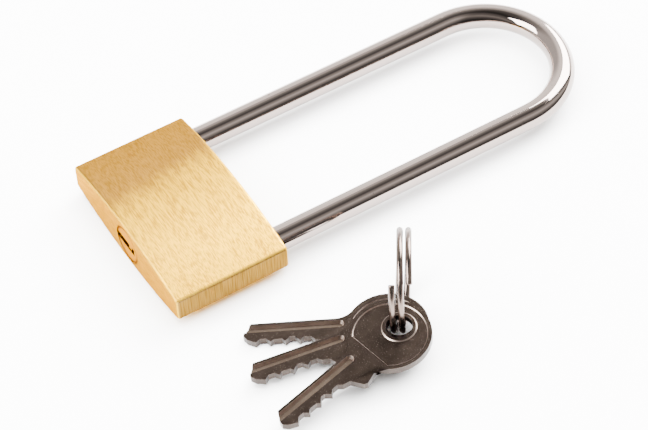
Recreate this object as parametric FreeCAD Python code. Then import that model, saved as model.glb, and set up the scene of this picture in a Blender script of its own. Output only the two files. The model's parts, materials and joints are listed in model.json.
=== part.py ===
import FreeCAD, Part
import math
import os

# Long-shackle brass padlock lying on its large face, with its three keys on a split ring beside it.
# Frame: the origin is the centre of the flat end face that holds the keyway, at half the thickness.
# +X runs across the lock towards the keys, +Y from the keyway end to the shackle bow, and +Z is up.
# Millimetres throughout.

V = FreeCAD.Vector
X, Y, Z = V(1, 0, 0), V(0, 1, 0), V(0, 0, 1)

# ---- lock body ----
body_width = 50.0
body_height = 29.4          # keyway end to shackle end
side_thickness = 6.4        # thickness of the two narrow sides
face_crown = 2.8            # bulge of each large face over its sides
corner_round = 0.9          # the four long corners
end_round = 0.7             # the rims of the two end faces

# ---- shackle ----
shackle_dia = 6.2
leg_spacing = 37.8          # between the two leg axes
leg_length = 71.0           # straight leg outside the body, up to the bow
toe_tip = 1.9               # metal of the short leg below its latch notch
shackle_lift = 11.5         # travel when the lock is open
waist_depth = 0.8           # waist of the long leg, which the stop pin rides in
leg_end_round = 0.8
leg_clear = 0.15            # radial clearance of the legs in the body

# ---- plug and keyway ----
plug_dia = 9.4
plug_x = 1.0                # the plug sits this far towards the keys from the middle
plug_recess = 0.1
plug_clear = 0.1            # radial
plug_end_wall = 1.0         # metal behind the end of the keyway
groove_width = 2.0          # ring groove for the plug's retaining pin
groove_depth = 0.8
cam_throw = 2.4             # radius that the cam nib turns on
cam_dia = 1.6
cam_height = 1.5
cam_root = 0.5              # how far the nib is let into the plug's end

# ---- key ----
key_thickness = 1.8
bow_radius = 9.45
bow_offset = 2.8            # from the key ring hole to the middle of the bow
hole_dia = 6.2
blade_reach = 35.6          # key ring hole to tip
shoulder_reach = 16.0       # key ring hole to the shoulder that stops on the plug
spine = 3.2                 # blade edge that is left uncut, from the key's centre line
crest = 2.3                 # tops of the cut edge, from the key's centre line
mill_near, mill_far = 0.8, 2.3   # sides of the milled groove, from the centre line towards the spine
mill_depth = 1.0
mill_start = 12.6           # where the milled groove runs out, from the hole
field_radius = 8.6          # sunk round field of the bow
field_chord = 6.1           # its straight edge, from the middle of the bow
field_depth = 0.25
neck_side = 4.4             # neck between bow and shoulder, from the centre line
shoulder_side = 6.0         # top of the shoulder, from the centre line
flare_radius = 5.0          # hollow curve from the bow into the spine
tip_bevel = (1.7, 0.2)      # bevelled corner of the tip: along the spine, and at the centre line
tip_land = (1.0, 1.4)       # end of the cut edge: before the tip, and from the centre line
mill_run_out = 2.0
boss_dia = 7.8              # raised rim round the hole
key_clear = 0.1             # keyway all round the blade

# ---- pins ----
pin_pitch = 3.35
pin_first = 5.0             # first pin from the shoulder
cut_depths = [0.9, 1.2, 0.7, 1.0]
pin_dia = 2.6
pin_clear = 0.05            # radial
pin_dome = 0.5
shear_gap = 0.1             # from the plug's surface to the end of a driver pin
driver_length = 4.4
pin_floor = 0.2             # bottom of the plug's pin holes, past the plug's axis line
cap_length = 6.5
pin_cone = 0.8              # coned tip of a key pin
retainer_dia = 1.8
retainer_wall = 0.9         # metal between the last pin and the plug's retaining pin

# ---- latch ----
latch_dia = 4.2
latch_clear = 0.1           # radial
latch_travel = 2.4
latch_bite = 1.8            # how far the nose enters the short leg
latch_gap = 0.6             # nose to leg when the latch is drawn back
nose_height = 3.0
latch_tail = 5.2            # latch body past the plug's axis
latch_spring_length = 4.4   # with the latch drawn back
stop_nose_dia = 3.0
fit_gap = 0.1               # end play between stacked pieces

# ---- springs: wire diameter, outer diameter, turns ----
shackle_spring_size = (0.6, 5.2, 5)
latch_spring_size = (0.4, 3.4, 6)
pin_spring_size = (0.3, 2.2, 10)
spring_floor = 2.2          # bottom of the long leg's bore from the keyway end
shackle_spring_length = 5.3 # with the lock closed

# ---- split ring ----
ring_outer = 24.0
ring_wire = 1.5
ring_pitch = 1.95
ring_centre = (49.2, 44.5)
ring_heading = -34.0        # degrees, the way the ring's plane runs on the table
ring_end_angle = 45.0       # where the wire ends, from level on the keys' side
ring_hole_angle = -25.0     # where it passes through the keys

# ---- keys on the ring, from the table up: distance from the ring's centre, heading,
# ---- gap over the key below (or the table) at the hole, and the same at the tip
key_places = [
    ("key_3", 6.5, -121.2, 2.2, 0.1),
    ("key_2", 7.9, -102.1, 0.3, 0.0),
    ("key_1", 10.3, -78.9, 0.4, -0.1),
]

# ---- worked-out places ----
body_half = side_thickness / 2 + face_crown
floor_z = -body_half
leg_r = shackle_dia / 2
leg_x = leg_spacing / 2
toe_x, heel_x = -leg_x, leg_x
bow_y = body_height + leg_length
plug_r = plug_dia / 2
blade_length = blade_reach - shoulder_reach
keyway_end = plug_recess + blade_length + key_clear * 2
plug_end = keyway_end + plug_end_wall
latch_r = latch_dia / 2
latch_y = plug_end + latch_r + latch_clear * 2
nose_low = latch_y - nose_height / 2
nose_high = latch_y + nose_height / 2
toe_y = nose_low - fit_gap * 2 - toe_tip
heel_y = spring_floor + shackle_spring_length
pin_ys = [plug_recess + pin_first + n * pin_pitch for n in range(4)]
pin_r = pin_dia / 2
chamber_r = pin_r + pin_clear
retainer_y = pin_ys[-1] + chamber_r + retainer_wall + retainer_dia / 2
shear_x = plug_x - plug_r
side_x = -body_width / 2
neck_r = leg_r - waist_depth
stop_tip = heel_x - neck_r - fit_gap
latch_nose = toe_x + leg_r + latch_gap
latch_back = plug_x + latch_tail
stop_back = latch_back + latch_spring_length
stop_shoulder = heel_x - leg_r - leg_clear - fit_gap
os.makedirs("parts", exist_ok=True)


def save(name, shape):
    """Write one piece to its own STEP file."""
    shape.exportStep("parts/" + name + ".step")


def rod(radius, start, axis, length):
    """A cylinder from start along a unit axis."""
    return Part.makeCylinder(radius, length, start, axis)


def block(x0, x1, y0, y1, z0, z1):
    """A box between two corners."""
    return Part.makeBox(x1 - x0, y1 - y0, z1 - z0, V(x0, y0, z0))


def domed_rod(radius, start, axis, length, dome):
    """A cylinder with both rims rounded."""
    shape = rod(radius, start, axis, length)
    rims = [e for e in shape.Edges if isinstance(e.Curve, Part.Circle)]
    return shape.makeFillet(dome, rims)


def coil(size, start, axis, length):
    """A compression spring that fills the length between two faces, as one round-wire helix."""
    wire, outer, turns = size
    radius = outer / 2 - wire / 2
    rise = length - wire
    path = Part.makeHelix(rise / turns, rise, radius)
    slope = V(0, 2 * math.pi * radius, rise / turns).normalize()
    section = Part.Wire([Part.makeCircle(wire / 2, V(radius, 0, 0), slope)])
    spring = Part.Wire(path.Edges).makePipeShell([section], True, True)
    spring.Placement = FreeCAD.Placement(start + axis * (wire / 2), FreeCAD.Rotation(Z, axis))
    return spring


def body_outline():
    """Cross-section of the body: two crowned faces between two flat sides."""
    w, t = body_width / 2, side_thickness / 2
    top = Part.Arc(V(-w, 0, t), V(0, 0, t + face_crown), V(w, 0, t)).toShape()
    low = Part.Arc(V(w, 0, -t), V(0, 0, -t - face_crown), V(-w, 0, -t)).toShape()
    right = Part.makeLine(V(w, 0, t), V(w, 0, -t))
    left = Part.makeLine(V(-w, 0, -t), V(-w, 0, t))
    return Part.Wire([top, right, low, left])


def make_body():
    """The brass block with every bore that the lock needs."""
    solid = Part.Face(body_outline()).extrude(Y * body_height)
    long_edges = [e for e in solid.Edges if abs(e.BoundBox.YLength - body_height) < 1e-6]
    solid = solid.makeFillet(corner_round, long_edges)
    rims = [e for e in solid.Edges if e.BoundBox.YLength < 1e-6]
    solid = solid.makeFillet(end_round, rims)
    pocket_y = plug_end + cam_height + fit_gap * 2
    pocket_r = cam_throw + cam_dia / 2 + fit_gap * 2
    leg_bore = leg_r + leg_clear
    latch_bore = latch_r + latch_clear
    cuts = [
        rod(plug_r + plug_clear, V(plug_x, -1, 0), Y, plug_end + fit_gap + 1),
        rod(pocket_r, V(plug_x, 0, 0), Y, pocket_y),
        rod(leg_bore, V(toe_x, toe_y - fit_gap * 2, 0), Y, body_height),
        rod(leg_bore, V(heel_x, spring_floor, 0), Y, body_height),
        rod(latch_bore, V(side_x - 1, latch_y, 0), X, heel_x - side_x + 1),
        rod(retainer_dia / 2, V(side_x - 1, retainer_y, 0), X, plug_x - side_x + 1),
    ]
    cuts += [rod(chamber_r, V(side_x - 1, y, 0), X, shear_x - side_x + 2) for y in pin_ys]
    return solid.cut(cuts)


def make_shackle():
    """The U-shaped steel bar: toe with its latch notch, heel with its waist."""
    bow = Part.makeTorus(leg_x, leg_r, V(0, bow_y, 0), Z, -180, 180, 180)
    toe = rod(leg_r, V(toe_x, toe_y, 0), Y, bow_y - toe_y)
    heel = rod(leg_r, V(heel_x, heel_y, 0), Y, bow_y - heel_y)
    bar = toe.fuse([bow, heel]).removeSplitter()
    ends = [e for e in bar.Edges if e.BoundBox.YLength < 1e-6 and e.BoundBox.YMax < body_height]
    bar = bar.makeFillet(leg_end_round, ends)
    play = fit_gap * 2
    notch_x = toe_x + leg_r - latch_bite - play
    notch = block(notch_x, toe_x + leg_r + 1, nose_low - play, nose_high + play, -leg_r, leg_r)
    waist_low = latch_y - stop_nose_dia / 2 - fit_gap - shackle_lift
    waist_high = latch_y + stop_nose_dia / 2 + fit_gap * 3
    waist = rod(leg_r + 1, V(heel_x, waist_low, 0), Y, waist_high - waist_low)
    waist = waist.cut(rod(neck_r, V(heel_x, waist_low, 0), Y, waist_high - waist_low))
    return bar.cut([notch, waist])


def make_plug():
    """The turning core: keyway, pin holes, retaining groove and cam nib."""
    core = rod(plug_r, V(plug_x, plug_recess, 0), Y, plug_end - plug_recess)
    half = key_thickness / 2 + key_clear
    way = block(plug_x - plug_r - 1, plug_x + spine + key_clear, plug_recess - 1, keyway_end, -half, half)
    rib_low = key_thickness / 2 - mill_depth + key_clear
    rib = block(
        plug_x + mill_near + key_clear, plug_x + mill_far - key_clear,
        plug_recess - 1, keyway_end, rib_low, half + 1,
    )
    groove_y = retainer_y - groove_width / 2
    groove = rod(plug_r + 1, V(plug_x, groove_y, 0), Y, groove_width)
    groove = groove.cut(rod(plug_r - groove_depth, V(plug_x, groove_y, 0), Y, groove_width))
    holes = [rod(chamber_r, V(shear_x - 1, y, 0), X, plug_r - pin_floor + 1) for y in pin_ys]
    side = cam_throw * math.sqrt(0.5)
    nib = rod(cam_dia / 2, V(plug_x - side, plug_end - cam_root, side), Y, cam_height + cam_root)
    return core.cut([way.cut(rib), groove] + holes).fuse(nib)


def make_latch():
    """The latch bolt, drawn back: bevelled nose, and a slot that the cam nib works in."""
    bolt = rod(latch_r, V(latch_nose, latch_y, 0), X, latch_back - latch_nose)
    neck = latch_travel + latch_gap + 1
    for y0, y1 in ((nose_high, latch_y + latch_r + 1), (latch_y - latch_r - 1, nose_low)):
        bolt = bolt.cut(block(latch_nose - 1, latch_nose + neck, y0, y1, -latch_r, latch_r))
    bevel = Part.makePolygon([
        V(latch_nose - 1, nose_high + 1, -latch_r - 1),
        V(latch_nose - 1, nose_high - nose_height / 2, -latch_r - 1),
        V(latch_nose, nose_high - nose_height / 2, -latch_r - 1),
        V(latch_nose + nose_height / 2, nose_high, -latch_r - 1),
        V(latch_nose + nose_height / 2, nose_high + 1, -latch_r - 1),
        V(latch_nose - 1, nose_high + 1, -latch_r - 1),
    ])
    bolt = bolt.cut(Part.Face(bevel).extrude(Z * (latch_dia + 2)))
    reach = cam_throw * math.sqrt(0.5) + cam_dia / 2 + fit_gap
    slot_top = plug_end + cam_height + fit_gap * 2
    slot = block(plug_x - reach, plug_x + reach, plug_end - 1, slot_top, -latch_r, latch_r)
    return bolt.cut(slot)


def make_stop():
    """The heel stop pin: its nose rides in the waist of the long leg."""
    pin = rod(latch_r, V(stop_back, latch_y, 0), X, stop_shoulder - stop_back)
    return pin.fuse(rod(stop_nose_dia / 2, V(stop_shoulder, latch_y, 0), X, stop_tip - stop_shoulder))


def make_key_pin(number):
    """A key pin standing at the shear line, its coned tip on its own cut of the key."""
    y = pin_ys[number]
    outer = shear_x + shear_gap * 2
    tip = plug_x - crest + cut_depths[number]
    pin = rod(pin_r, V(outer, y, 0), X, tip - outer - pin_cone)
    rim = [e for e in pin.Edges if abs(e.BoundBox.XMax - outer) < 1e-6]
    pin = pin.makeFillet(pin_dome, rim)
    return pin.fuse(Part.makeCone(pin_r, pin_r - pin_cone, pin_cone, V(tip - pin_cone, y, 0), X))


def cut_edge():
    """Points along the key's cut edge, from the tip to the shoulder, as (reach, side)."""
    points = [(blade_reach - tip_land[0], tip_land[1])]
    for number in reversed(range(4)):
        seat = shoulder_reach + pin_first + number * pin_pitch
        floor = crest - cut_depths[number]
        points += [
            (seat + pin_pitch / 2, crest),
            (seat + pin_pitch / 2 - cut_depths[number], floor),
            (seat - pin_pitch / 2 + cut_depths[number], floor),
        ]
    points.append((shoulder_reach + pin_first - pin_pitch / 2, crest))
    return points


def key_blank():
    """Outline of the key: bow, neck, shoulder and blade."""
    bow = Part.makeCylinder(bow_radius, key_thickness, V(bow_offset, 0, -key_thickness / 2))
    chamfer = 0.4
    points = [
        (bow_offset, -spine),
        (blade_reach - tip_bevel[0], -spine),
        (blade_reach - tip_bevel[1], -crest * chamfer),
        (blade_reach, tip_bevel[1]),
    ]
    points += cut_edge()
    points += [
        (shoulder_reach + chamfer * 4, crest + chamfer),
        (shoulder_reach, shoulder_side - chamfer),
        (shoulder_reach - chamfer * 2, shoulder_side),
        (bow_offset + bow_radius - chamfer * 4, neck_side),
        (bow_offset, neck_side),
    ]
    corners = [V(u, v, -key_thickness / 2) for u, v in points]
    blade = Part.Face(Part.makePolygon(corners + corners[:1])).extrude(Z * key_thickness)
    return bow.fuse([blade, bow_fillet()]).removeSplitter()


def bow_fillet():
    """The hollow curve that runs from the bow into the spine edge of the blade."""
    v = -(spine + flare_radius)
    u = bow_offset + math.sqrt((bow_radius + flare_radius) ** 2 - v * v)
    reach = math.hypot(u - bow_offset, v)
    touch = V(bow_offset + (u - bow_offset) * bow_radius / reach, v * bow_radius / reach, 0)
    corner = V(bow_offset, -spine, 0)
    web = Part.makePolygon([corner, touch, V(u, v, 0), V(u, -spine, 0), corner])
    web = Part.Face(web).extrude(Z * key_thickness)
    web = web.cut(Part.makeCylinder(flare_radius, key_thickness, V(u, v, 0)))
    web.translate(Z * (-key_thickness / 2))
    return web


def make_key():
    """A key at the origin of its own frame: ring hole at the origin, tip along +X, cuts on +Y, top up."""
    half = key_thickness / 2
    key = key_blank()
    boss = Part.makeCylinder(boss_dia / 2, key_thickness + 2, V(0, 0, -half - 1))
    for low, high in ((half - field_depth, half + 1), (-half - 1, -half + field_depth)):
        field = Part.makeCylinder(field_radius, high - low, V(bow_offset, 0, low))
        beyond = block(bow_offset + field_chord, 20, -20, 20, low - 1, high + 1)
        key = key.cut(field.cut([beyond, boss]))
    key = key.cut(Part.makeCylinder(hole_dia / 2, key_thickness + 2, V(0, 0, -half - 1)))
    mill_floor = half - mill_depth
    side = Part.makePolygon([
        V(mill_start, -mill_far, half + 0.1), V(mill_start + mill_run_out, -mill_far, mill_floor),
        V(blade_reach + 1, -mill_far, mill_floor), V(blade_reach + 1, -mill_far, half + 0.1),
        V(mill_start, -mill_far, half + 0.1),
    ])
    return key.cut(Part.Face(side).extrude(Y * (mill_far - mill_near)))


def key_frame(reach, heading, hole_height, tip_height):
    """Where a key lies: its hole on the ring, its blade sloping down to its tip."""
    lean = math.radians(ring_heading)
    slope = math.degrees(math.asin((hole_height - tip_height) / blade_reach))
    turn = FreeCAD.Rotation(Z, heading).multiply(FreeCAD.Rotation(Y, slope))
    hole = V(
        ring_centre[0] + reach * math.cos(lean),
        ring_centre[1] + reach * math.sin(lean),
        floor_z + hole_height + key_thickness / 2,
    )
    return FreeCAD.Placement(hole, turn)


def make_ring():
    """The split ring: two full turns of wire side by side, standing on the table."""
    radius = ring_outer / 2 - ring_wire / 2
    path = Part.makeHelix(ring_pitch, 2 * ring_pitch, radius)
    slope = V(0, 2 * math.pi * radius, ring_pitch).normalize()
    section = Part.Wire([Part.makeCircle(ring_wire / 2, V(radius, 0, 0), slope)])
    ring = Part.Wire(path.Edges).makePipeShell([section], True, True)
    at_holes = (ring_end_angle - ring_hole_angle) / 360 * ring_pitch
    ring.translate(Z * (-at_holes - ring_pitch / 2))
    lean = math.radians(ring_heading)
    along = V(math.cos(lean), math.sin(lean), 0)
    across = V(-math.sin(lean), math.cos(lean), 0)
    start = FreeCAD.Rotation(along, Z * -1, across, "ZXY")
    ring.Placement = FreeCAD.Placement(
        V(ring_centre[0], ring_centre[1], floor_z + ring_outer / 2),
        start.multiply(FreeCAD.Rotation(Z, -ring_end_angle)),
    ).multiply(ring.Placement)
    return ring


save("body", make_body())
save("shackle", make_shackle())
save("plug", make_plug())
save("latch", make_latch())
save("heel_stop", make_stop())
toe_bore_side = toe_x - leg_r - leg_clear
retainer_tip = shear_x + groove_depth - fit_gap
save("latch_bore_cap", rod(latch_r + latch_clear, V(side_x, latch_y, 0), X, toe_bore_side - side_x))
save("plug_retainer", rod(retainer_dia / 2, V(side_x, retainer_y, 0), X, retainer_tip - side_x))
save("latch_spring", coil(latch_spring_size, V(latch_back, latch_y, 0), X, latch_spring_length))
save("shackle_spring", coil(shackle_spring_size, V(heel_x, spring_floor, 0), Y, shackle_spring_length))
driver_back = shear_x - shear_gap - driver_length
cap_face = side_x + cap_length
for n, y in enumerate(pin_ys):
    tag = "_" + str(n + 1)
    save("key_pin" + tag, make_key_pin(n))
    save("driver_pin" + tag, domed_rod(pin_r, V(driver_back, y, 0), X, driver_length, pin_dome))
    save("pin_spring" + tag, coil(pin_spring_size, V(cap_face, y, 0), X, driver_back - cap_face))
    save("chamber_cap" + tag, rod(chamber_r, V(side_x, y, 0), X, cap_length))
save("key_ring", make_ring())
hole_height, tip_height = -key_thickness, -key_thickness
for name, reach, heading, hole_gap, tip_gap in key_places:
    hole_height += key_thickness + hole_gap
    tip_height += key_thickness + tip_gap
    key = make_key()
    key.Placement = key_frame(reach, heading, hole_height, tip_height)
    save(name, key)
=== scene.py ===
import json
import math

import bmesh
import bpy
from mathutils import Matrix, Vector


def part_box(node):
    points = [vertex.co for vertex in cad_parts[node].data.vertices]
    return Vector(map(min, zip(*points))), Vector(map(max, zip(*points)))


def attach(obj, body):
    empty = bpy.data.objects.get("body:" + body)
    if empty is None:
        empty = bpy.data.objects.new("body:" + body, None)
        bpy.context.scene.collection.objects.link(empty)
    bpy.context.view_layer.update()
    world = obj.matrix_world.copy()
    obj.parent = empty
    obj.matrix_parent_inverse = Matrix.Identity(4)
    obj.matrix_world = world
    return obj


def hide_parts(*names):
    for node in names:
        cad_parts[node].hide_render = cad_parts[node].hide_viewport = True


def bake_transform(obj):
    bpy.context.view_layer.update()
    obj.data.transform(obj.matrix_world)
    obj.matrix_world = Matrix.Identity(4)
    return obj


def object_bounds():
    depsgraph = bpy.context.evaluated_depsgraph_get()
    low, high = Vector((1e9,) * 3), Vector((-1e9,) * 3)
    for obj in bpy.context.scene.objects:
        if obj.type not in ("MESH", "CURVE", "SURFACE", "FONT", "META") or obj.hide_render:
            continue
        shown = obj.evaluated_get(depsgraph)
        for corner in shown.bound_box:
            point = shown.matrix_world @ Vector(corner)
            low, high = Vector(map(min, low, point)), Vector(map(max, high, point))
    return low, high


# A long-shackle brass padlock with three nickel keys on a split ring, lying on a pale table.
# Metres throughout, in the frame of the CAD model.

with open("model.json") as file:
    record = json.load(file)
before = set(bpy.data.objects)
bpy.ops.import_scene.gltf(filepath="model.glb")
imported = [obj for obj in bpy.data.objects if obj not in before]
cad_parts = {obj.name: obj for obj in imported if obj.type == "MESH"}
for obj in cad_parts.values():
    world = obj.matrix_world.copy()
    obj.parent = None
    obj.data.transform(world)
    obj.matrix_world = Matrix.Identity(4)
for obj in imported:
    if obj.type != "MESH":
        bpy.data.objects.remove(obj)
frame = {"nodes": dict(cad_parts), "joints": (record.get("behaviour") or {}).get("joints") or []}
nodes = frame["nodes"]
joints = {joint["name"]: joint for joint in frame["joints"]}
cad_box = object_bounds()
MM = 0.001

# ---- camera ----
VIEW_AZIMUTH, VIEW_ELEVATION, VIEW_ROLL = 61.405, 48.738, -3.773
VIEW_TARGET = Vector((18.488, 42.899, 0)) * MM
VIEW_DISTANCE = 584.9 * MM
LENS, SENSOR = 139.2, 36.0

# ---- studio ----
# sky: direction in degrees round from +X over the top to -X, and brightness
SKY_STOPS = [
    (0, 0.5), (15, 0.15), (29, 0.65), (50, 1.7), (64, 0.9),
    (82, 0.19), (102, 0.6), (115, 1.6), (134, 4.2), (180, 4.2),
]
SKY_TINT = (1.0, 0.98, 0.96)
# panels: name, direction from the target, side, watts, seen in reflections
LIGHTS = [
    ("overhead", (0.0, 0.0, 1.4), 1.6, 230, False),
    ("back_panel", (-0.35, 1.0, 0.75), 0.9, 110, True),
    ("front_panel", (-0.25, -1.1, 0.85), 0.9, 90, True),
]
TABLE_HALF = 4

# ---- key, in its own frame: ring hole at the origin, tip along +X, cuts on +Y, top up ----
KEY_THICKNESS = 1.8 * MM
BOW_RADIUS, BOW_OFFSET = 9.45 * MM, 2.8 * MM
HOLE_RADIUS, BOSS_RADIUS = 3.1 * MM, 3.9 * MM
BLADE_REACH, SHOULDER_REACH = 35.6 * MM, 16.0 * MM
SPINE, CREST = 3.2 * MM, 2.3 * MM
NECK_SIDE, SHOULDER_SIDE = 4.4 * MM, 6.0 * MM
FLARE_RADIUS = 5.0 * MM
FIRST_CUT, CUT_PITCH = 5.0 * MM, 3.35 * MM
CUT_DEPTHS = [0.9 * MM, 1.2 * MM, 0.7 * MM, 1.0 * MM]
TIP_SIDE, TIP_BEVEL = 0.2 * MM, 1.7 * MM
TIP_LAND = (1.0 * MM, 1.4 * MM)
CHAMFER = 0.4 * MM
GROOVE_START, GROOVE_MIDDLE, GROOVE_HALF, GROOVE_DEPTH = 12.6 * MM, -1.65 * MM, 1.05 * MM, 0.8 * MM
GROOVE_SLOPE = 0.5 * MM
FIELD_RADIUS, FIELD_CHORD, FIELD_DEPTH, FIELD_SLOPE = 8.3 * MM, 6.1 * MM, 0.22 * MM, 0.3 * MM
KEY_EDGE, KEY_EDGE_ANGLE = 0.1 * MM, 28
CUTTER_CLEAR = 0.1 * MM
PLUG_RADIUS = 4.7 * MM

# ---- wound wire: diameter, outer diameter, turns; the ring's heading and wire end in degrees ----
RING_WINDING = (1.5 * MM, 23.98 * MM, 2)
SHACKLE_WINDING = (0.6 * MM, 5.2 * MM, 5)
LATCH_WINDING = (0.4 * MM, 3.4 * MM, 6)
PIN_WINDING = (0.3 * MM, 2.2 * MM, 10)
RING_PITCH, RING_HEADING, RING_END_ANGLE = 1.95 * MM, -34.0, 45.0
WIRE_END = 0.3 * MM
RING_STEPS, SPRING_STEPS_A_TURN = 1400, 60


# ---------------------------------------------------------------- node graphs

class Graph:
    """A material's nodes. Each short call adds one node and returns its output."""

    def __init__(self, name):
        self.material = bpy.data.materials.new(name)
        self.material.use_nodes = True
        self.tree = self.material.node_tree
        self.shader = self.tree.nodes["Principled BSDF"]

    def feed(self, socket, value):
        if isinstance(value, bpy.types.NodeSocket):
            self.tree.links.new(value, socket)
        else:
            socket.default_value = value

    def node(self, kind, inputs, output=0, **settings):
        made = self.tree.nodes.new("ShaderNode" + kind)
        for key, value in settings.items():
            setattr(made, key, value)
        for key, value in inputs.items():
            self.feed(made.inputs[key], value)
        return made.outputs[output]

    def surface(self, inputs):
        for key, value in inputs.items():
            self.feed(self.shader.inputs[key], value)
        return self.material

    def place(self):
        return self.node("TexCoord", {}, "Object")

    def scaled(self, vector, scale):
        return self.node("VectorMath", {0: vector, 1: scale}, operation="MULTIPLY")

    def noise(self, vector, scale=1.0, detail=4.0):
        return self.node("TexNoise", {"Vector": vector, "Scale": scale, "Detail": detail}, "Fac")

    def math(self, operation, a, b=0.0):
        return self.node("Math", {0: a, 1: b}, operation=operation)

    def ease(self, value, low, high, to_low=0.0, to_high=1.0):
        ends = {"Value": value, "From Min": low, "From Max": high, "To Min": to_low, "To Max": to_high}
        return self.node("MapRange", ends, interpolation_type="SMOOTHSTEP")

    def mix(self, amount, a, b):
        return self.node("Mix", {0: amount, 6: a, 7: b}, 2, data_type="RGBA")

    def bump(self, height, strength, distance):
        return self.node("Bump", {"Height": height, "Strength": strength, "Distance": distance})

    def part(self, vector, axis):
        return self.node("SeparateXYZ", {"Vector": vector}, axis)


def rgb(red, green, blue):
    """An opaque colour."""
    return (red, green, blue, 1.0)


BRASS_GLANCE = rgb(0.62, 0.42, 0.17)


def plug_reach(g, place):
    """Distance from the plug's axis, with the rim of the plug as one."""
    axis = joints["plug_turn"]["pos_m"]
    across = g.math("SUBTRACT", g.part(place, "X"), axis[0])
    height = g.math("SUBTRACT", g.part(place, "Z"), axis[2])
    flat = g.node("CombineXYZ", {"X": across, "Y": 0.0, "Z": height})
    distance = g.node("VectorMath", {0: flat}, "Value", operation="LENGTH")
    return g.math("DIVIDE", distance, PLUG_RADIUS)


def brushed_brass():
    """The block: grinding lines across the faces, upright ones on the narrow sides; painted shade on the narrow
    sides, the ends, the left of the top face and in a ring round the plug, and a painted highlight on the
    rounded edges.
    """
    g = Graph("brushed_brass")
    low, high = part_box("body")
    place = g.place()
    normal = g.node("TexCoord", {}, "Normal")
    facing = [g.math("ABSOLUTE", g.part(normal, axis)) for axis in "XYZ"]
    on_side = g.ease(facing[0], 0.55, 0.8)
    on_end = g.ease(facing[1], 0.55, 0.8)
    # painted highlight: the rounded edges, whose faces look along no axis, are mixed towards bright yellow and
    # made a little rougher
    edge = g.ease(g.math("MAXIMUM", g.math("MAXIMUM", facing[0], facing[1]), facing[2]), 0.80, 0.93, 1.0, 0.0)
    # painted shade: a dark ring on the keyway end close round the plug, where the gap lies in shade
    keyway_end = g.ease(g.part(normal, "Y"), -0.8, -0.55, 1.0, 0.0)
    plug_gap_shade = g.math("MULTIPLY", keyway_end, g.ease(plug_reach(g, place), 1.02, 1.10, 1.0, 0.0))
    lines = g.noise(g.scaled(place, (420, 3600, 3600)), detail=6)
    broad = g.noise(g.scaled(place, (110, 620, 620)), detail=4)
    upright = g.noise(g.scaled(place, (2600, 2600, 90)), detail=4)
    grain = g.mix(on_side, g.mix(0.22, lines, broad), upright)
    streak = g.ease(grain, 0.34, 0.62)
    # painted shade: the left part of the top face takes a darker tan copy of the brass colour, wandering a
    # little with the grain
    across = g.math("ADD", g.part(place, "X"), g.math("MULTIPLY", g.part(place, "Y"), 0.12))
    wander = g.math("MULTIPLY", broad, 0.008)
    painted_left_shade = g.ease(g.math("ADD", across, wander), 0.25 * low.x, 0.12 * high.x, 1.0, 0.0)
    yellow = g.mix(streak, rgb(0.37, 0.175, 0.002), rgb(0.90, 0.50, 0.003))
    shaded_tan = g.mix(streak, rgb(0.25, 0.125, 0.012), rgb(0.40, 0.20, 0.030))
    # painted shade: the narrow sides and the ends take darker copies of the brass colour
    side = g.mix(streak, rgb(0.080, 0.045, 0.011), rgb(0.135, 0.078, 0.022))
    end = g.mix(streak, rgb(0.22, 0.11, 0.003), rgb(0.38, 0.20, 0.008))
    colour = g.mix(on_side, g.mix(on_end, g.mix(painted_left_shade, yellow, shaded_tan), end), side)
    # painted highlight on the rounded edges
    colour = g.mix(g.math("MULTIPLY", edge, 0.45), colour, rgb(0.95, 0.60, 0.04))
    # painted shade round the plug
    colour = g.mix(g.math("MULTIPLY", plug_gap_shade, 0.85), colour, rgb(0.035, 0.012, 0.004))
    stain = g.ease(g.noise(place, 260, 2), 0.64, 0.74, 0.0, 0.4)
    colour = g.mix(stain, colour, rgb(0.26, 0.11, 0.02))
    return g.surface({
        "Base Color": colour,
        "Metallic": 1.0,
        "Specular Tint": BRASS_GLANCE,
        "Roughness": g.math("ADD", g.ease(grain, 0.3, 0.7, 0.44, 0.32), g.math("MULTIPLY", edge, 0.25)),
        "Anisotropic": 0.6,
        "Tangent": g.node("CombineXYZ", {"X": 0.0, "Y": 1.0, "Z": 0.3}),
        "Normal": g.bump(grain, 0.6, 0.00010),
    })


def turned_brass(name, dark, light, roughness, keyway_shade=False):
    """Small turned brass: fine rings round the axis and a little tarnish; for the plug, painted shade on the
    keyway's walls and round the plug's rim.
    """
    g = Graph(name)
    place = g.place()
    rings = g.noise(g.scaled(place, (2400, 900, 2400)), detail=4)
    tarnish = g.noise(place, 420, 3)
    colour = g.mix(rings, dark, light)
    colour = g.mix(g.ease(tarnish, 0.55, 0.75, 0.0, 0.5), colour, rgb(0.20, 0.07, 0.02))
    if keyway_shade:
        # painted shade: the keyway's walls and a ring at the plug's rim are darkened
        reach = plug_reach(g, place)
        on_end = g.ease(g.math("ABSOLUTE", g.part(g.node("TexCoord", {}, "Normal"), "Y")), 0.5, 0.8)
        walls = g.math("MULTIPLY", g.ease(on_end, 0.0, 1.0, 1.0, 0.0), g.ease(reach, 0.80, 0.90, 1.0, 0.0))
        rim = g.math("MULTIPLY", on_end, g.ease(reach, 0.84, 0.97))
        colour = g.mix(g.math("MAXIMUM", walls, rim), colour, rgb(0.05, 0.017, 0.006))
    return g.surface({
        "Base Color": colour,
        "Metallic": 1.0,
        "Specular Tint": BRASS_GLANCE,
        "Roughness": g.ease(tarnish, 0.3, 0.7, roughness, roughness + 0.12),
        "Normal": g.bump(rings, 0.2, 0.00003),
    })


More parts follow.
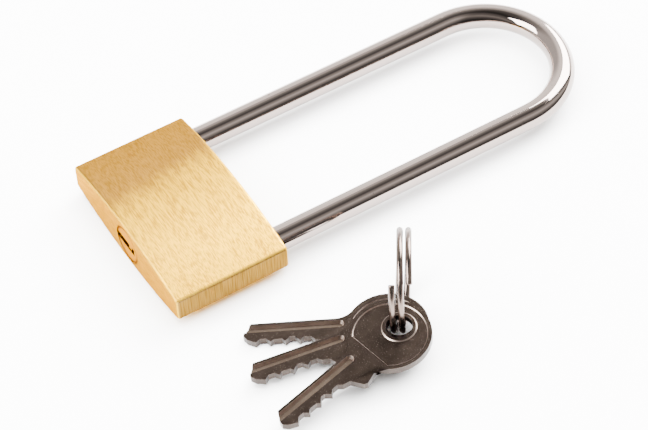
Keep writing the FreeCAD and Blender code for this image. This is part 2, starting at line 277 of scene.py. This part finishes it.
def polished_steel(name, colour, roughness):
    """Bright plating over steel, with faint lines along the bar, tiny pits, and painted shade on the faces that
    turn away from the top.
    """
    g = Graph(name)
    place = g.place()
    lines = g.noise(g.scaled(place, (1500, 35, 1500)), detail=3)
    pits = g.ease(g.noise(g.scaled(place, (1300, 520, 1300)), detail=2), 0.70, 0.76)
    patches = g.ease(g.noise(place, 130, 2), 0.50, 0.62)
    pits = g.math("MULTIPLY", pits, patches)
    shade = g.mix(g.math("MULTIPLY", lines, 0.3), colour, rgb(0.20, 0.17, 0.155))
    # painted shade: faces that turn from up towards down are darkened
    under = g.ease(g.part(g.node("TexCoord", {}, "Normal"), "Z"), 0.1, 0.7, 0.4, 0.0)
    shade = g.mix(under, shade, rgb(0.10, 0.082, 0.074))
    height = g.math("SUBTRACT", g.math("MULTIPLY", lines, 0.25), pits)
    return g.surface({
        "Base Color": g.mix(pits, shade, rgb(0.04, 0.035, 0.035)),
        "Metallic": 1.0,
        "Roughness": g.math("ADD", roughness, g.math("MULTIPLY", pits, 0.3)),
        "Normal": g.bump(height, 0.25, 0.00003),
    })


def plated_nickel(name, dark, light, spots):
    """Dull nickel plate: brown-grey, cloudy, and speckled with fine bright dots."""
    g = Graph(name)
    place = g.place()
    cloud = g.noise(place, 300, 4)
    dots = g.ease(g.noise(place, 4200, 2), 0.62, 0.75)
    rubbed = g.noise(g.scaled(place, (500, 120, 500)), detail=4)
    colour = g.mix(cloud, dark, light)
    colour = g.mix(g.math("MULTIPLY", dots, spots), colour, rgb(0.45, 0.38, 0.33))
    height = g.math("ADD", dots, g.math("MULTIPLY", rubbed, 0.5))
    return g.surface({
        "Base Color": colour,
        "Metallic": 1.0,
        "Roughness": g.ease(rubbed, 0.3, 0.7, 0.28, 0.40),
        "Normal": g.bump(height, 0.3, 0.00003),
    })


def bright_wire(name, dark, light, roughness):
    """Drawn wire: fine, slightly uneven lines."""
    g = Graph(name)
    place = g.place()
    drawn = g.noise(g.scaled(place, (900, 900, 500)), detail=4)
    return g.surface({
        "Base Color": g.mix(drawn, dark, light),
        "Metallic": 1.0,
        "Roughness": g.ease(drawn, 0.3, 0.7, roughness, roughness + 0.1),
        "Normal": g.bump(drawn, 0.15, 0.00003),
    })


def paint(material, *names):
    """Give CAD nodes a material."""
    for name in names:
        mesh = nodes[name].data
        mesh.materials.clear()
        mesh.materials.append(material)


# ---------------------------------------------------------------- mesh helpers

def add(name, mesh):
    """A new object in the scene."""
    piece = bpy.data.objects.new(name, mesh)
    bpy.context.scene.collection.objects.link(piece)
    return piece


def settle(piece):
    """The piece's modifiers, worked into its mesh."""
    bpy.context.view_layer.update()
    mesh = bpy.data.meshes.new_from_object(piece.evaluated_get(bpy.context.evaluated_depsgraph_get()))
    piece.modifiers.clear()
    piece.data = mesh


def prism(name, outline, low, high, material, roof=None, wall=None):
    """A solid with this outline between two heights; its top and its walls can differ."""
    mesh = bpy.data.meshes.new(name)
    shape = bmesh.new()
    floor = [shape.verts.new((x, y, low)) for x, y in outline]
    top = [shape.verts.new((x, y, high)) for x, y in roof or outline]
    shape.faces.new(floor)
    shape.faces.new(top)
    for number in range(len(floor)):
        side = shape.faces.new((floor[number - 1], floor[number], top[number], top[number - 1]))
        side.material_index = 1 if wall else 0
    bmesh.ops.recalc_face_normals(shape, faces=shape.faces)
    shape.to_mesh(mesh)
    shape.free()
    mesh.materials.append(material)
    if wall:
        mesh.materials.append(wall)
    return add(name, mesh)


def cut(piece, tool):
    """Cut a tool from a piece; the cut faces keep the tool's materials."""
    modifier = piece.modifiers.new("cut", "BOOLEAN")
    modifier.operation = "DIFFERENCE"
    modifier.solver = "EXACT"
    modifier.material_mode = "TRANSFER"
    modifier.object = tool
    settle(piece)
    bpy.data.objects.remove(tool)


def arc(centre, radius, start, end, steps):
    """Points round a centre, from one angle to another in degrees."""
    turns = [math.radians(start + (end - start) * step / steps) for step in range(steps + 1)]
    return [(centre[0] + radius * math.cos(turn), centre[1] + radius * math.sin(turn)) for turn in turns]


def round_about_hole(radius):
    """A circle about the key's ring hole."""
    return arc((0, 0), radius, 0, 360, 56)[:-1]


def soften(piece, width, segments, angle, edge_slot):
    """Round the sharp edges of a piece, give them a material, and shade it smooth between them."""
    bevel = piece.modifiers.new("edges", "BEVEL")
    bevel.width = width
    bevel.segments = segments
    bevel.angle_limit = math.radians(angle)
    bevel.material = edge_slot
    settle(piece)
    piece.data.shade_smooth()
    piece.data.set_sharp_from_angle(angle=math.radians(angle))
    piece.modifiers.new("shading", "WEIGHTED_NORMAL").keep_sharp = True
    settle(piece)


# ---------------------------------------------------------------- keys

def cut_edge():
    """The key's cut edge from tip to shoulder: crests with flat-bottomed cuts between them."""
    points = [(BLADE_REACH - TIP_LAND[0], TIP_LAND[1])]
    for number in reversed(range(len(CUT_DEPTHS))):
        seat = SHOULDER_REACH + FIRST_CUT + number * CUT_PITCH
        depth = CUT_DEPTHS[number]
        points += [
            (seat + CUT_PITCH / 2, CREST),
            (seat + CUT_PITCH / 2 - depth, CREST - depth),
            (seat - CUT_PITCH / 2 + depth, CREST - depth),
        ]
    points.append((SHOULDER_REACH + FIRST_CUT - CUT_PITCH / 2, CREST))
    return points


def key_outline():
    """The whole key as one outline, against the clock from the spine."""
    flare_side = -(SPINE + FLARE_RADIUS)
    flare_reach = BOW_OFFSET + math.sqrt((BOW_RADIUS + FLARE_RADIUS) ** 2 - flare_side ** 2)
    touch = math.degrees(math.atan2(flare_side, flare_reach - BOW_OFFSET))
    neck = math.degrees(math.asin(NECK_SIDE / BOW_RADIUS))
    points = arc((flare_reach, flare_side), FLARE_RADIUS, 180 + touch, 90, 14)
    points += [
        (BLADE_REACH - TIP_BEVEL, -SPINE),
        (BLADE_REACH - TIP_SIDE, -CREST * 0.4),
        (BLADE_REACH, TIP_SIDE),
    ]
    points += cut_edge()
    points += [
        (SHOULDER_REACH + CHAMFER * 4, CREST + CHAMFER),
        (SHOULDER_REACH, SHOULDER_SIDE - CHAMFER),
        (SHOULDER_REACH - CHAMFER * 2, SHOULDER_SIDE),
        (BOW_OFFSET + BOW_RADIUS - CHAMFER * 4, NECK_SIDE),
    ]
    return points + arc((BOW_OFFSET, 0), BOW_RADIUS, neck, 360 + touch, 96)[:-1]


def field_outline(radius):
    """The sunk part of the bow: a round field with one straight edge across the neck."""
    turn = math.degrees(math.acos(FIELD_CHORD / FIELD_RADIUS))
    return arc((BOW_OFFSET, 0), radius, turn, 360 - turn, 80)


def groove_outline(half):
    """The blade's groove: a straight channel to the tip with a round run-out at the bow."""
    past_tip = BLADE_REACH + 1 * MM
    points = arc((GROOVE_START + GROOVE_HALF, GROOVE_MIDDLE), half, 90, 270, 20)
    return points + [(past_tip, GROOVE_MIDDLE - half), (past_tip, GROOVE_MIDDLE + half)]


def key_mesh(plate, rim, channel):
    """One key in its own frame, with a painted highlight on its edges and sloped walls."""
    half = KEY_THICKNESS / 2
    key = prism("key", key_outline(), -half, half, plate)
    for turned in (False, True):
        field = prism(
            "field", field_outline(FIELD_RADIUS), half - FIELD_DEPTH, half + CUTTER_CLEAR, plate,
            field_outline(FIELD_RADIUS + FIELD_SLOPE), rim,
        )
        boss = prism(
            "boss", round_about_hole(BOSS_RADIUS + FIELD_SLOPE), half - FIELD_DEPTH - CUTTER_CLEAR,
            half + CUTTER_CLEAR * 2, plate, round_about_hole(BOSS_RADIUS - FIELD_SLOPE), rim,
        )
        cut(field, boss)
        if turned:
            field.data.transform(Matrix.Scale(-1, 4, (0, 0, 1)))
            field.data.flip_normals()
        cut(key, field)
    hole = prism("hole", round_about_hole(HOLE_RADIUS), -half * 2, half * 2, plate)
    cut(key, hole)
    groove = prism(
        "groove", groove_outline(GROOVE_HALF - GROOVE_SLOPE), half - GROOVE_DEPTH, half + CUTTER_CLEAR, channel,
        groove_outline(GROOVE_HALF), rim,
    )
    cut(key, groove)
    soften(key, KEY_EDGE, 2, KEY_EDGE_ANGLE, key.data.materials.find(rim.name))
    mesh = key.data
    bpy.data.objects.remove(key)
    return mesh


def key_matrix(number):
    """Where a key lies: at its swing joint, turned so that its tip is on the CAD key's tip."""
    joint = joints["swing_key_" + str(number)]
    hole = Vector(joint["pos_m"])
    up = Vector(joint["axis"]).normalized()
    reaches = [Vector(vertex.co) - hole for vertex in nodes["key_" + str(number)].data.vertices]
    tip = max(reaches, key=lambda reach: reach.length)
    along = (tip - up * tip.dot(up)).normalized()
    frame_matrix = Matrix((along, up.cross(along), up)).transposed().to_4x4()
    lead = Matrix.Rotation(-math.atan2(TIP_SIDE, BLADE_REACH), 4, "Z")
    return Matrix.Translation(hole) @ frame_matrix @ lead


def make_keys():
    """Three keys alike, each where its CAD key lies."""
    plate = plated_nickel("key_nickel", rgb(0.014, 0.010, 0.0078), rgb(0.040, 0.029, 0.023), 0.20)
    # painted highlight: a bright copy of the nickel for the bevelled edges and the sloped walls of the field,
    # the boss and the groove
    rim = plated_nickel("key_rim", rgb(0.15, 0.115, 0.095), rgb(0.30, 0.24, 0.205), 0.2)
    # painted light: a lighter copy of the nickel for the groove's floor
    channel = plated_nickel("key_channel", rgb(0.065, 0.046, 0.034), rgb(0.125, 0.095, 0.072), 0.3)
    blank = key_mesh(plate, rim, channel)
    for number in (1, 2, 3):
        mesh = blank.copy()
        mesh.transform(key_matrix(number))
        key = add("cut_key_" + str(number), mesh)
        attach(key, "key_" + str(number))
        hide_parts("key_" + str(number))


# ---------------------------------------------------------------- wound wire

class WireTree:
    """A geometry tree that winds a round wire with softened ends into a coil about Z."""

    def __init__(self):
        self.tree = bpy.data.node_groups.new("wound_wire", "GeometryNodeTree")
        side = self.tree.interface
        for name, value in (("Wire", MM), ("Radius", MM), ("Length", MM), ("Turns", 1.0)):
            side.new_socket(name, in_out="INPUT", socket_type="NodeSocketFloat").default_value = value
        side.new_socket("Steps", in_out="INPUT", socket_type="NodeSocketInt").default_value = 100
        side.new_socket("Material", in_out="INPUT", socket_type="NodeSocketMaterial")
        side.new_socket("Geometry", in_out="OUTPUT", socket_type="NodeSocketGeometry")
        self.given = self.tree.nodes.new("NodeGroupInput").outputs
        self.wind()

    def node(self, kind, inputs, output=0, **settings):
        made = self.tree.nodes.new(kind)
        for key, value in settings.items():
            setattr(made, key, value)
        for key, value in inputs.items():
            if isinstance(value, bpy.types.NodeSocket):
                self.tree.links.new(value, made.inputs[key])
            else:
                made.inputs[key].default_value = value
        return made.outputs[output]

    def math(self, operation, a, b=0.0):
        return self.node("ShaderNodeMath", {0: a, 1: b}, operation=operation)

    def wind(self):
        """A straight line is bent into the coil, then a circle is swept along it, smaller near both ends."""
        given = self.given
        line = self.node("GeometryNodeCurvePrimitiveLine", {"Start": (0, 0, 0), "End": (0, 0, 1)})
        line = self.node("GeometryNodeResampleCurve", {"Curve": line, "Count": given["Steps"]})
        along = self.node("GeometryNodeSplineParameter", {})
        turn = self.math("MULTIPLY", self.math("MULTIPLY", along, given["Turns"]), math.tau)
        middle = self.math("SUBTRACT", given["Radius"], self.math("MULTIPLY", given["Wire"], 0.5))
        spot = self.node("ShaderNodeCombineXYZ", {
            "X": self.math("MULTIPLY", self.math("COSINE", turn), middle),
            "Y": self.math("MULTIPLY", self.math("SINE", turn), middle),
            "Z": self.math("MULTIPLY", self.math("SUBTRACT", along, 0.5), given["Length"]),
        })
        coil = self.node("GeometryNodeSetPosition", {"Geometry": line, "Position": spot})
        from_end = self.math("SUBTRACT", 0.5, self.math("ABSOLUTE", self.math("SUBTRACT", along, 0.5)))
        reach = self.math("MULTIPLY", self.math("MULTIPLY", given["Turns"], middle), math.tau / WIRE_END)
        missing = self.math("SUBTRACT", 1.0, self.math("MINIMUM", self.math("MULTIPLY", from_end, reach), 1.0))
        dome = self.math("SQRT", self.math("SUBTRACT", 1.0, self.math("MULTIPLY", missing, missing)))
        full = self.math("MULTIPLY", given["Wire"], 0.5)
        lost = self.math("MULTIPLY", self.math("SUBTRACT", 1.0, dome), self.math("MINIMUM", full, WIRE_END))
        size = self.math("SUBTRACT", full, lost)
        ring = self.node("GeometryNodeCurvePrimitiveCircle", {"Resolution": 20, "Radius": 1.0})
        tube = self.node(
            "GeometryNodeCurveToMesh", {"Curve": coil, "Profile Curve": ring, "Scale": size, "Fill Caps": True},
        )
        tube = self.node("GeometryNodeSetShadeSmooth", {"Geometry": tube})
        tube = self.node("GeometryNodeSetMaterial", {"Geometry": tube, "Material": given["Material"]})
        tube = self.node("GeometryNodeRealizeInstances", {"Geometry": tube})
        self.tree.links.new(tube, self.tree.nodes.new("NodeGroupOutput").inputs["Geometry"])


def wound(wires, node, winding, steps, material, length, turn):
    """A coil that takes the place of a CAD one, turned to lie as it does."""
    wire, outer, turns = winding
    low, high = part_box(node)
    coil = add("wound_" + node, bpy.data.meshes.new("wound_" + node))
    modifier = coil.modifiers.new("wire", "NODES")
    modifier.node_group = wires.tree
    values = {
        "Wire": wire, "Radius": outer / 2, "Length": length, "Turns": float(turns), "Steps": steps,
        "Material": material,
    }
    for item in wires.tree.interface.items_tree:
        if item.in_out == "INPUT":
            modifier[item.identifier] = values[item.name]
    settle(coil)
    coil.data.transform(Matrix.Translation((low + high) / 2) @ turn)
    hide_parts(node)
    return coil


def make_coils():
    """The split ring and every spring."""
    wires = WireTree()
    nickel = bright_wire("ring_nickel", rgb(0.085, 0.062, 0.052), rgb(0.17, 0.13, 0.112), 0.17)
    spring_wire = bright_wire("spring_wire", rgb(0.16, 0.15, 0.14), rgb(0.30, 0.28, 0.27), 0.25)
    lean = math.radians(RING_HEADING)
    along, across = Vector((math.cos(lean), math.sin(lean), 0)), Vector((-math.sin(lean), math.cos(lean), 0))
    stand = Matrix((along, Vector((0, 0, -1)), across)).transposed().to_4x4()
    stand = stand @ Matrix.Rotation(-math.radians(RING_END_ANGLE), 4, "Z")
    ring = wound(wires, "key_ring", RING_WINDING, RING_STEPS, nickel, RING_WINDING[2] * RING_PITCH, stand)
    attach(ring, "key_ring")
    springs = [("shackle_spring", SHACKLE_WINDING, "shackle"), ("latch_spring", LATCH_WINDING, "latch")]
    springs += [("pin_spring_" + n, PIN_WINDING, "driver_pin_" + n) for n in "1234"]
    for node, winding, mover in springs:
        low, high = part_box(node)
        middle, reach = (low + high) / 2, high - low
        axis = Vector((0, 1, 0)) if node == "shackle_spring" else Vector((1, 0, 0))
        length = abs(reach.dot(axis))
        turn = axis.to_track_quat("Z", "Y").to_matrix().to_4x4()
        steps = winding[2] * SPRING_STEPS_A_TURN
        spring = wound(wires, node, winding, steps, spring_wire, length - winding[0], turn)
        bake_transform(spring)


# ---------------------------------------------------------------- table, light and camera

def make_floor():
    """A pale matt table under everything."""
    g = Graph("table_top")
    shade = g.noise(g.place(), 18, 3)
    g.surface({
        "Base Color": g.mix(shade, rgb(0.88, 0.88, 0.88), rgb(0.91, 0.91, 0.91)),
        "Roughness": 0.8,
        "Specular IOR Level": 0.1,
    })
    mesh = bpy.data.meshes.new("table")
    shape = bmesh.new()
    bmesh.ops.create_grid(shape, x_segments=2, y_segments=2, size=TABLE_HALF)
    shape.to_mesh(mesh)
    shape.free()
    floor = add("table", mesh)
    floor.location = (0, 0, cad_box[0][2])
    mesh.materials.append(g.material)


def make_sky():
    """A studio of soft panels with two dim gaps that polished metal shows, and a dimmer side behind -Y."""
    world = bpy.data.worlds.new("studio")
    bpy.context.scene.world = world
    world.use_nodes = True
    tree = world.node_tree
    direction = tree.nodes.new("ShaderNodeTexCoord").outputs["Generated"]
    split = tree.nodes.new("ShaderNodeSeparateXYZ")
    tree.links.new(direction, split.inputs[0])
    turn = tree.nodes.new("ShaderNodeMath")
    turn.operation = "ARCTAN2"
    tree.links.new(split.outputs["Z"], turn.inputs[0])
    tree.links.new(split.outputs["X"], turn.inputs[1])
    share = tree.nodes.new("ShaderNodeMath")
    share.operation = "DIVIDE"
    share.inputs[1].default_value = math.pi
    tree.links.new(turn.outputs[0], share.inputs[0])
    ramp = tree.nodes.new("ShaderNodeValToRGB")
    near = tree.nodes.new("ShaderNodeMapRange")
    near.interpolation_type = "SMOOTHSTEP"
    for name, value in (("From Min", -0.1), ("From Max", 0.28), ("To Min", 0.4), ("To Max", 1.0)):
        near.inputs[name].default_value = value
    tree.links.new(split.outputs["Y"], near.inputs["Value"])
    tree.links.new(share.outputs[0], ramp.inputs[0])
    band = ramp.color_ramp
    band.interpolation = "EASE"
    while len(band.elements) < len(SKY_STOPS):
        band.elements.new(0.5)
    for element, (degrees, level) in zip(band.elements, SKY_STOPS):
        element.position = degrees / 180
        element.color = rgb(*[level * tint for tint in SKY_TINT])
    background = tree.nodes["Background"]
    tree.links.new(ramp.outputs["Color"], background.inputs["Color"])
    tree.links.new(near.outputs[0], background.inputs["Strength"])


def make_lights():
    """Large soft panels that light the table and the block."""
    for name, direction, size, power, shown in LIGHTS:
        light = bpy.data.lights.new(name, "AREA")
        light.shape = "SQUARE"
        light.size = size
        light.energy = power
        lamp = bpy.data.objects.new(name, light)
        lamp.location = VIEW_TARGET + Vector(direction)
        lamp.rotation_euler = Vector(direction).to_track_quat("Z", "Y").to_euler()
        lamp.visible_glossy = shown
        bpy.context.scene.collection.objects.link(lamp)


def make_camera():
    """The camera, at the view's angles round its target."""
    azimuth, elevation, roll = (math.radians(value) for value in (VIEW_AZIMUTH, VIEW_ELEVATION, VIEW_ROLL))
    back = Vector((
        math.sin(azimuth) * math.cos(elevation), -math.cos(azimuth) * math.cos(elevation), math.sin(elevation),
    ))
    right = Vector((math.cos(azimuth), math.sin(azimuth), 0))
    up = back.cross(right)
    tilted = right * math.cos(roll) + up * math.sin(roll)
    lens = bpy.data.cameras.new("view")
    lens.lens, lens.sensor_width, lens.clip_start = LENS, SENSOR, 0.01
    camera = bpy.data.objects.new("view", lens)
    camera.matrix_world = Matrix.Translation(VIEW_TARGET + back * VIEW_DISTANCE) @ Matrix(
        (tilted, back.cross(tilted), back)
    ).transposed().to_4x4()
    bpy.context.scene.collection.objects.link(camera)
    bpy.context.scene.camera = camera


paint(brushed_brass(), "body")
pin_brass = turned_brass("pin_brass", rgb(0.42, 0.20, 0.006), rgb(0.80, 0.46, 0.02), 0.24)
paint(turned_brass("plug_brass", rgb(0.26, 0.12, 0.008), rgb(0.46, 0.23, 0.02), 0.30, True), "plug")
paint(pin_brass, *[name for name in nodes if name.startswith("key_pin")])
# painted shade: the caps take a dark copy of the brass, as dark as the body's shaded narrow sides
cap_brass = turned_brass("cap_brass", rgb(0.085, 0.048, 0.012), rgb(0.15, 0.086, 0.024), 0.36)
paint(cap_brass, *[name for name in nodes if "_cap" in name])
paint(polished_steel("shackle_chrome", rgb(0.30, 0.245, 0.22), 0.07), "shackle")
steel_pins = [name for name in nodes if "driver_pin" in name]
paint(polished_steel("pin_steel", rgb(0.34, 0.31, 0.29), 0.2), "plug_retainer", *steel_pins)
paint(polished_steel("latch_steel", rgb(0.28, 0.26, 0.24), 0.28), "latch", "heel_stop")
make_keys()
make_coils()
make_floor()
make_sky()
make_lights()
make_camera()
